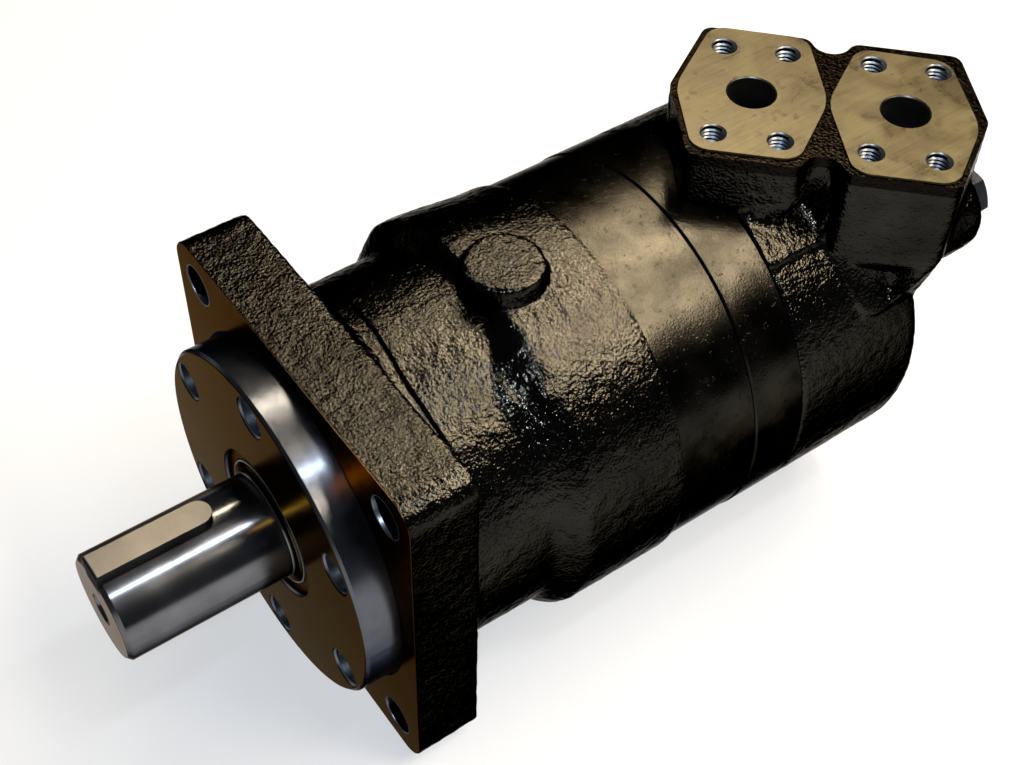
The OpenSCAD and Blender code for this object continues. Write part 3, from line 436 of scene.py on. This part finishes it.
def skinOf(nodeName, ends, extras, look, rough, reshape):
    # ends: (axis, level, outward sign, levels drawn out), each drawn out 3 mm, and cut back when it is done
    bm = bmesh.new()
    bm.from_mesh(nodes[nodeName].data)
    bmesh.ops.remove_doubles(bm, verts=bm.verts, dist=2e-6)
    for axis, level, sign, levels in ends:
        for v in bm.verts:
            if any(abs(v.co[axis] - l) < 2e-5 for l in levels):
                v.co[axis] = level + sign * 3 * mm
    for extra in extras:
        blobInto(bm, *extra)
    bm = melt(bm, look["voxel"] * mm)
    for _ in range(look["smoothing"]):
        bmesh.ops.smooth_vert(bm, verts=bm.verts, factor=0.5, use_axis_x=True, use_axis_y=True,
                              use_axis_z=True)
    reshape(bm)
    bm.normal_update()
    roughen(bm, look, rough)
    for axis, level, sign, _ in ends:
        cutFlat(bm, axis, level, sign)
    bmesh.ops.recalc_face_normals(bm, faces=bm.faces)
    return bm


frontCasting = {"voxel": 1.05, "smoothing": 2, "lump": 3.2, "lumpHeight": 0.2, "corner": 9.5, "half": 71,
                "neck": 66.1, "body": 72.6, "boss": (-78, 6, 13.5)}

flangePitch = 114.5
boltSides = [(a, b) for a in (-1, 1) for b in (-1, 1)]

# Where the shoulder starts on the neck and ends on the body, by angle from the top towards the near side
shoulder = {"foot": [(-180, -57.5), (-80, -58), (-48, -61), (-14, -64.3), (4, -65), (11, -65.6), (18, -61.7),
                     (27, -56.8), (38, -54.6), (50, -54.3), (80, -56.5), (180, -57.5)],
            "top": [(-180, -66.5), (-80, -67), (-48, -69.5), (-14, -69.3), (11, -69.0), (18, -69.8),
                    (23, -70.4), (30, -71), (38, -72.2), (50, -72.2), (80, -69), (180, -66.5)],
            "bulge": 2.4, "lumps": [(-57.4, 34.5, 1.1, 2.0, 5.5), (-66.9, 38.6, 1.0, 1.8, 3.6)]}


def between(table, place):
    for (p0, v0), (p1, v1) in zip(table, table[1:]):
        if place <= p1:
            share = (place - p0) / (p1 - p0)
            return v0 + (v1 - v0) * share * share * (3 - 2 * share)
    return table[-1][1]


def softStep(low, high, value):
    share = min(1, max(0, (value - low) / (high - low)))
    return share * share * (3 - 2 * share)


def shoulderRadius(x, angle):
    foot, top = between(shoulder["foot"], angle), between(shoulder["top"], angle)
    neck, body = frontCasting["neck"], frontCasting["body"]
    side = softStep(-68, -50, angle) * softStep(2, -14, angle)
    body += shoulder["bulge"] * side * softStep(-104, -72, x)
    radius = neck + (body - neck) * softStep(foot, top, x)
    for place, turn, high, wide, spread in shoulder["lumps"]:
        radius += high * math.exp(-((x - place) / wide) ** 2 - ((angle - turn) / spread) ** 2)
    return radius


def reshapeFront(bm):
    # the bolt holes get room for their machined walls, and the shoulder its uneven form
    for v in bm.verts:
        if v.co.x > -24.6 * mm:
            for a, b in boltSides:
                fromHole = Vector((0, v.co.y - a * flangePitch * mm / 2, v.co.z - b * flangePitch * mm / 2))
                if fromHole.length < 8.4 * mm:
                    v.co += fromHole.normalized() * 0.45 * mm
    bossX, bossY, bossRadius = frontCasting["boss"]
    for v in bm.verts:
        x, y, z = v.co.x / mm, v.co.y / mm, v.co.z / mm
        radius = math.hypot(y, z)
        if not -104 < x < -40 or radius < 60:
            continue
        fromBoss = math.hypot(x - bossX, y - bossY) if z > 0 else 99
        share = softStep(-40, -46, x) * softStep(-104, -98, x)
        share *= softStep(bossRadius + 0.3, bossRadius + 2, fromBoss)
        if share > 0:
            wanted = shoulderRadius(x, math.degrees(math.atan2(y, z)))
            scale = 1 + share * (wanted / radius - 1)
            v.co.y *= scale
            v.co.z *= scale


def frontRough(co, normal):
    radius = math.hypot(co.y, co.z) / mm
    x = co.x / mm
    if x > -1.2 or radius < 55 or x < -106:
        return 0
    if x > -23:
        onSide = max(abs(co.y), abs(co.z)) / mm > 62 and abs(normal.x) < 0.6
        return 1 if onSide else 0.35
    return 1 if radius > 62 else 0


# four round corners of the flange, and the straight stretches beside them
cornerAt = frontCasting["half"] - frontCasting["corner"]
stretch = 2 * (cornerAt - 55)
corner = frontCasting["corner"]
cornerBlobs = []
for shape, (out, up), size, turn in (("cone", (cornerAt, cornerAt), (corner, corner, 27.5), (0, 90, 0)),
                                     ("box", (55, 68), (27.5, stretch, 6), (0, 0, 0)),
                                     ("box", (68, 55), (27.5, 6, stretch), (0, 0, 0))):
    cornerBlobs += [(shape, (-10.75, a * out, b * up), size, turn) for a, b in boltSides]
frontBm = skinOf("bearing_housing", [(0, -0.4 * mm, 1, [0.0]), (0, ringFront, -1, [ringFront])],
                 cornerBlobs, frontCasting, frontRough, reshapeFront)
addPiece("castHousing", meshFrom(frontBm, "castHousing"), castPaint,
         stands=("bearing_housing",))

flangeFace = {"half": 70.7, "corner": 9.2, "hole": 64.6, "boltHole": 7.45, "thick": 0.8}


def plateWithHoles(outline, rounds, holes, thick):
    # a flat plate in the XY plane, top at 0; outline and holes in mm
    bm = bmesh.new()
    corners = [bm.verts.new((u, v, 0)) for u, v in outline]
    bm.faces.new(corners)
    bmesh.ops.bevel(bm, geom=corners, offset=rounds, offset_type="OFFSET", segments=10, profile=0.5,
                    affect="VERTICES", material=-1)
    bmesh.ops.delete(bm, geom=bm.faces[:], context="FACES_ONLY")
    for (u, v), radius, parts in holes:
        bmesh.ops.create_circle(bm, segments=parts, radius=radius, matrix=Matrix.Translation((u, v, 0)))
    bmesh.ops.triangle_fill(bm, use_beauty=True, use_dissolve=False, edges=bm.edges[:], normal=(0, 0, 1))
    skirt = bmesh.ops.extrude_face_region(bm, geom=bm.faces[:])
    lowered = [g for g in skirt["geom"] if isinstance(g, bmesh.types.BMVert)]
    bmesh.ops.translate(bm, verts=lowered, vec=(0, 0, -thick))
    bmesh.ops.scale(bm, vec=(mm, mm, mm), verts=bm.verts)
    bmesh.ops.recalc_face_normals(bm, faces=bm.faces)
    return bm


half = flangeFace["half"]
boltHoles = [((a * flangePitch / 2, b * flangePitch / 2), flangeFace["boltHole"], 48) for a, b in boltSides]
bm = plateWithHoles([(-half, -half), (half, -half), (half, half), (-half, half)], flangeFace["corner"],
                    [((0, 0), flangeFace["hole"], 160)] + boltHoles, flangeFace["thick"])
bmesh.ops.rotate(bm, verts=bm.verts, cent=(0, 0, 0), matrix=Matrix.Rotation(math.pi / 2, 3, "Y"))
addPiece("flangeFace", meshFrom(bm, "flangeFace"), flangeSteel)

# The wavy flash line of the mould's joint, round the top of the neck; angles in degrees, sizes in mm

neckFlash = {"radius": 66.4, "from": -16, "to": 42, "high": 0.95, "wide": 0.85,
             "line": [(-20, -34.6), (-1.9, -33.3), (6.1, -32.3), (14.8, -31.3), (21.4, -31.0), (27.3, -31.6),
                      (45, -33.4)]}
bm = bmesh.new()
rows = []
steps = 120
for k in range(steps + 1):
    angle = neckFlash["from"] + (neckFlash["to"] - neckFlash["from"]) * k / steps
    line = neckFlash["line"]
    place = next(i for i in range(len(line) - 1) if line[i][0] <= angle <= line[i + 1][0])
    (a0, x0), (a1, x1) = line[place], line[place + 1]
    share = (angle - a0) / (a1 - a0)
    share = share * share * (3 - 2 * share)
    along = x0 + (x1 - x0) * share + 0.35 * noise.noise((angle * 0.5, 3.1, 0))
    fade = min(1, (angle - neckFlash["from"]) / 6, (neckFlash["to"] - angle) / 6)
    high = neckFlash["high"] * fade * (1 + 0.35 * noise.noise((angle * 0.7, 0, 1.7)))
    turn = math.radians(angle)
    section = ((-neckFlash["wide"], -0.5), (-0.3, 0.72 * high), (0.05, high), (0.4, 0.72 * high),
               (neckFlash["wide"], -0.5))
    rows.append([bm.verts.new(((along + u) * mm, (neckFlash["radius"] + r) * mm * math.sin(turn),
                               (neckFlash["radius"] + r) * mm * math.cos(turn))) for u, r in section])
for first, second in zip(rows, rows[1:]):
    for i in range(5):
        bm.faces.new((first[i], first[(i + 1) % 5], second[(i + 1) % 5], second[i]))
bm.faces.new(rows[0])
bm.faces.new(reversed(rows[-1]))
bmesh.ops.recalc_face_normals(bm, faces=bm.faces)
addPiece("neckFlash", meshFrom(bm, "neckFlash", 60), castPaint)
print("flange face and flash line done")

rearCasting = {"voxel": 0.95, "smoothing": 2, "lump": 3.0, "lumpHeight": 0.2, "rimTop": padTop - 0.8 * mm,
               "round": 73.0, "slant": 0.7071, "foot": 2.2}


def rearRough(co, normal):
    radius = math.hypot(co.y, co.z) / mm
    if co.x / mm > -162.7 or co.z > rearCasting["rimTop"] - 1.5 * mm:
        return 0
    outside = radius > 66 or co.z / mm > 60 or co.x / mm < -214
    return 1 if outside else 0


def reshapeRear(bm):
    # under the notch of the block the round body runs on to the block's own wall
    slant, foot = rearCasting["slant"], rearCasting["foot"]
    wall = {}
    for v in bm.verts:
        if 84 * mm < v.co.z < 90 * mm:
            along, out = int((v.co.y - v.co.x) * slant / mm), (v.co.x + v.co.y) * slant / mm
            wall[along] = max(wall.get(along, -999), out)
    for v in bm.verts:
        x, y, z = v.co.x / mm, v.co.y / mm, v.co.z / mm
        radius = math.hypot(y, z)
        if not (-209 < x < -160.5 and y > 3 and z < 83.5 and radius > rearCasting["round"]):
            continue
        beyond = (x + y) * slant - wall.get(int((y - x) * slant), -999)
        share = softStep(-209, -203, x) * softStep(0.5, 1.2, beyond)
        if share > 0:
            wanted = rearCasting["round"] + foot * math.exp(-(beyond / foot) ** 2)
            if wanted < radius:
                scale = 1 + share * (wanted / radius - 1)
                v.co.y *= scale
                v.co.z *= scale


rearBm = skinOf("valve_housing", [(2, rearCasting["rimTop"], 1, [rearCasting["rimTop"], padTop])],
                [], rearCasting, rearRough, reshapeRear)
addPiece("castValveBody", meshFrom(rearBm, "castValveBody"), castPaint,
         stands=("valve_housing",))


# Ports: milled pads, bores and tapped holes

ports = {"middle": (-204.4, 17.0), "turn": 135, "gap": 52, "boreRadius": 8.75, "boreDepth": 35,
         "tapSpacing": (22.2, 47.6), "tapRadius": 4.25, "tapDepth": 19, "cornerRound": 5.5, "padThick": 1.3,
         "outlines": [[(26, 0), (17.5, 34.2), (-16.5, 34.8), (-25.9, -1), (-17.5, -32.6), (17.5, -32.3)],
                      [(24.8, -4), (17.0, -34.4), (-16.5, -34.6), (-26, 0), (-17.0, 31.8), (15.0, 30.5)]]}
rowTurn = Matrix.Rotation(math.radians(ports["turn"]), 3, "Z")
tapPlaces = []
for index, side in enumerate((-1, 1)):
    portCentre = Vector((*ports["middle"], 0)) + rowTurn @ Vector((side * ports["gap"] / 2, 0, 0))
    taps = [portCentre + rowTurn @ Vector((a * ports["tapSpacing"][0] / 2, b * ports["tapSpacing"][1] / 2, 0))
            for a in (-1, 1) for b in (-1, 1)]
    tapPlaces += taps
    bm = bmesh.new()
    corners = [bm.verts.new(portCentre + rowTurn @ Vector((u, v, 0))) for u, v in ports["outlines"][index]]
    bm.faces.new(corners)
    bmesh.ops.bevel(bm, geom=corners, offset=ports["cornerRound"], offset_type="OFFSET", segments=8,
                    profile=0.5, affect="VERTICES", material=-1)
    bmesh.ops.delete(bm, geom=bm.faces[:], context="FACES_ONLY")
    holes = [(portCentre, ports["boreRadius"] + 0.05)] + [(tap, ports["tapRadius"] + 0.35) for tap in taps]
    for place, radius in holes:
        bmesh.ops.create_circle(bm, segments=64, radius=radius, matrix=Matrix.Translation(place))
    bmesh.ops.triangle_fill(bm, use_beauty=True, use_dissolve=False, edges=bm.edges[:], normal=(0, 0, 1))
    bmesh.ops.scale(bm, vec=(mm, mm, mm), verts=bm.verts)
    bmesh.ops.translate(bm, verts=bm.verts, vec=(0, 0, padTop))
    skirt = bmesh.ops.extrude_face_region(bm, geom=bm.faces[:])
    lowered = [g for g in skirt["geom"] if isinstance(g, bmesh.types.BMVert)]
    bmesh.ops.translate(bm, verts=lowered, vec=(0, 0, -ports["padThick"] * mm))
    bmesh.ops.recalc_face_normals(bm, faces=bm.faces)
    addPiece("portPad%d" % (index + 1), meshFrom(bm, "portPad"), padMetal)

    bore = ports["boreRadius"]
    deep = ports["boreDepth"]
    sleeve = spunRing([(bore - 0.3, -deep), (bore - 0.3, -0.5), (bore + 0.1, -0.05), (bore + 0.9, -0.05),
                       (bore + 0.9, -deep)], 64, (portCentre.x * mm, portCentre.y * mm, padTop), upright=True)
    addPiece("portBore%d" % (index + 1), meshFrom(sleeve, "portBore"), bareIron)

for index, place in enumerate(tapPlaces):
    tap = ports["tapRadius"]
    tall = ports["tapDepth"] - 0.5
    centre = (place.x * mm, place.y * mm, padTop)
    bm = spunRing([(tap, -tall), (tap, -0.4), (tap + 0.4, -0.02), (tap + 0.8, -0.02), (tap + 0.8, -tall)], 40,
                  centre, upright=True)
    threadCoil(bm, (tap - 0.62) * mm, (tap + 0.1) * mm, 1.5 * mm, 9,
               (place.x * mm, place.y * mm, padTop - 15.2 * mm), upright=True)
    addPiece("portThread%d" % (index + 1), meshFrom(bm, "portThread"), holeSteel)
print("ports done")


# Flange holes and shaft end

flangeHole = {"radius": 7.15, "back": -24.3}
for index, (sy, sz) in enumerate(boltSides):
    r = flangeHole["radius"]
    bm = spunRing([(r - 0.02, flangeHole["back"]), (r - 0.02, -0.35), (r + 0.2, 0.0), (r + 0.5, 0.0),
                   (r + 0.5, flangeHole["back"])], 56,
                  (0, sy * flangePitch / 2 * mm, sz * flangePitch / 2 * mm))
    addPiece("flangeHole%d" % (index + 1), meshFrom(bm, "flangeHole"), holeSteel)

pocket = {"circle": 54.6, "radius": 6.62, "back": 2.2, "count": 6}
for index in range(pocket["count"]):
    turn = math.radians(30 + 60 * index)
    r = pocket["radius"]
    bm = spunRing([(r, pocket["back"]), (r, pilotFront / mm - 0.9), (r + 0.5, pilotFront / mm - 0.35),
                   (r + 0.5, pocket["back"])], 48,
                  (0, pocket["circle"] * math.cos(turn) * mm, pocket["circle"] * math.sin(turn) * mm))
    addPiece("screwPocket%d" % (index + 1), meshFrom(bm, "screwPocket"), holeSteel)

# Wiper: a flat metal case set back in the bore, and a thin lip on the shaft

wiper = {"outer": 26.98, "inner": 23.3, "front": 11.5, "back": 7.4, "lip": 22.25, "lipFront": 12.3}
bm = spunRing([(wiper["outer"], wiper["back"]), (wiper["outer"], wiper["front"] - 0.3),
               (wiper["outer"] - 0.3, wiper["front"]), (wiper["inner"] + 0.2, wiper["front"]),
               (wiper["inner"], wiper["front"] - 0.2), (wiper["inner"], wiper["back"])], 128, (0, 0, 0))
addPiece("wiperCase", meshFrom(bm, "wiperCase"), wiperSteel, stands=("dust_seal",))
bm = spunRing([(wiper["inner"] - 0.02, wiper["back"]), (wiper["inner"] - 0.02, wiper["front"] - 0.5),
               (wiper["inner"] - 0.25, wiper["lipFront"] - 0.25), (wiper["inner"] - 0.55, wiper["lipFront"]),
               (wiper["lip"] + 0.06, wiper["lipFront"] - 0.3), (wiper["lip"], wiper["lipFront"] - 0.9),
               (wiper["lip"] + 0.4, wiper["back"])], 128, (0, 0, 0))
addPiece("wiperLip", meshFrom(bm, "wiperLip"), rubber, stands=("dust_seal",))

shaftHole = {"radius": 4.2, "threadDepth": 21, "pitch": 1.5, "turns": 12}
bm = bmesh.new()
threadCoil(bm, (shaftHole["radius"] - 0.55) * mm, (shaftHole["radius"] + 0.03) * mm, shaftHole["pitch"] * mm,
           shaftHole["turns"], (shaftEnd - shaftHole["threadDepth"] * mm, 0, 0))
addPiece("shaftEndThread", meshFrom(bm, "shaftEndThread"), brightSteel, body="shaft")
print("holes done")


# Stage

floorLook = {"level": -0.0732, "size": 3.2, "colour": (0.48, 0.51, 0.57), "shown": 0.5}


def makeFloorFinish():
    # seen directly or in a mirror, the floor is partly white light, and keeps the part's shadow
    finish, shader = newFinish("paleFloor", floorLook["colour"], 0.9)
    shader.inputs["Specular IOR Level"].default_value = 0.1
    tree = finish.node_tree
    glow = tree.nodes.new("ShaderNodeEmission")
    mix = tree.nodes.new("ShaderNodeMixShader")
    path = tree.nodes.new("ShaderNodeLightPath").outputs
    seen = sums(finish, "MAXIMUM", path["Is Camera Ray"], path["Is Glossy Ray"])
    seen = sums(finish, "MAXIMUM", seen, path["Is Transmission Ray"])
    tree.links.new(sums(finish, "MULTIPLY", seen, floorLook["shown"]), mix.inputs[0])
    tree.links.new(shader.outputs[0], mix.inputs[1])
    tree.links.new(glow.outputs[0], mix.inputs[2])
    tree.links.new(mix.outputs[0], tree.nodes["Material Output"].inputs["Surface"])
    return finish


def makeFloor():
    bm = bmesh.new()
    bmesh.ops.create_grid(bm, x_segments=1, y_segments=1, size=floorLook["size"])
    bmesh.ops.translate(bm, verts=bm.verts, vec=(-0.1, 0, floorLook["level"]))
    mesh = bpy.data.meshes.new("floor")
    bm.to_mesh(mesh)
    bm.free()
    mesh.materials.append(makeFloorFinish())
    floor = bpy.data.objects.new("floor", mesh)
    bpy.context.scene.collection.objects.link(floor)


makeFloor()

world = bpy.data.worlds.new("studio")
bpy.context.scene.world = world
world.use_nodes = True
world.node_tree.nodes["Background"].inputs["Color"].default_value = (0.80, 0.84, 0.92, 1)
world.node_tree.nodes["Background"].inputs["Strength"].default_value = 0.08


# each panel: x, y, width, length, watts; the narrow warm ones are mirrored as tan patches on the paint
lights = {"middle": (-0.10, 0.0, 0.02), "height": 1.0, "warm": (1.0, 0.82, 0.58), "cool": (0.84, 0.92, 1.0),
          "panels": [(-0.465, -0.27, 0.05, 0.97, 6.5), (-0.57, 0.10, 0.07, 1.7, 13.5),
                     (-0.70, 0.12, 0.15, 1.85, 14.0), (-0.92, 0.40, 0.14, 1.3, 20.0),
                     (-0.28, 0.10, 0.05, 0.46, 0.4), (-0.635, -0.82, 0.15, 0.15, 2.6)]}


def addPanel(name, place, size, colour, power, alongY=True):
    lamp = bpy.data.lights.new(name, "AREA")
    lamp.shape = "RECTANGLE"
    lamp.size, lamp.size_y = size
    lamp.color = colour
    lamp.energy = power
    panel = bpy.data.objects.new(name, lamp)
    panel.location = place
    panel.rotation_mode = "QUATERNION"
    aim = Vector(lights["middle"]) - Vector(place)
    panel.rotation_quaternion = aim.to_track_quat("-Z", "X" if alongY else "Y")
    bpy.context.scene.collection.objects.link(panel)


for index, (x, y, wide, long, power) in enumerate(lights["panels"]):
    addPanel("warmPanel%d" % (index + 1), (x, y, lights["height"]), (wide, long), lights["warm"], power)
addPanel("shaftStrip", (-0.17, 0.36, 0.98), (0.26, 0.035), lights["cool"], 2.6, alongY=False)
addPanel("smallFlash", (0.26, 0.50, 0.74), (0.08, 0.08), (0.82, 0.91, 1.0), 5.5)

# where the photo was taken from, in mm, and its axes; focal length in pixels of the photo
cameraFit = {"place": (134.2, 294.7, 428.0), "right": (-0.8148, 0.5792, 0.0235),
             "down": (0.4236, 0.6226, -0.658), "forward": (-0.3958, -0.5261, -0.7527),
             "focal": 1573.56, "sensor": 36, "imageWide": 1024}
camera = bpy.data.objects.new("camera", bpy.data.cameras.new("camera"))
bpy.context.scene.collection.objects.link(camera)
right, down, forward = (Vector(cameraFit[k]) for k in ("right", "down", "forward"))
turned = Matrix((right, -down, -forward)).transposed()
camera.rotation_mode = "QUATERNION"
camera.rotation_quaternion = turned.to_quaternion()
camera.location = Vector(cameraFit["place"]) * mm
camera.data.sensor_width = cameraFit["sensor"]
camera.data.lens = cameraFit["focal"] * cameraFit["sensor"] / cameraFit["imageWide"]
camera.data.shift_y = 0.5 / cameraFit["imageWide"]
bpy.context.scene.camera = camera
bpy.context.scene.view_settings.view_transform = "Standard"

print("stage done")
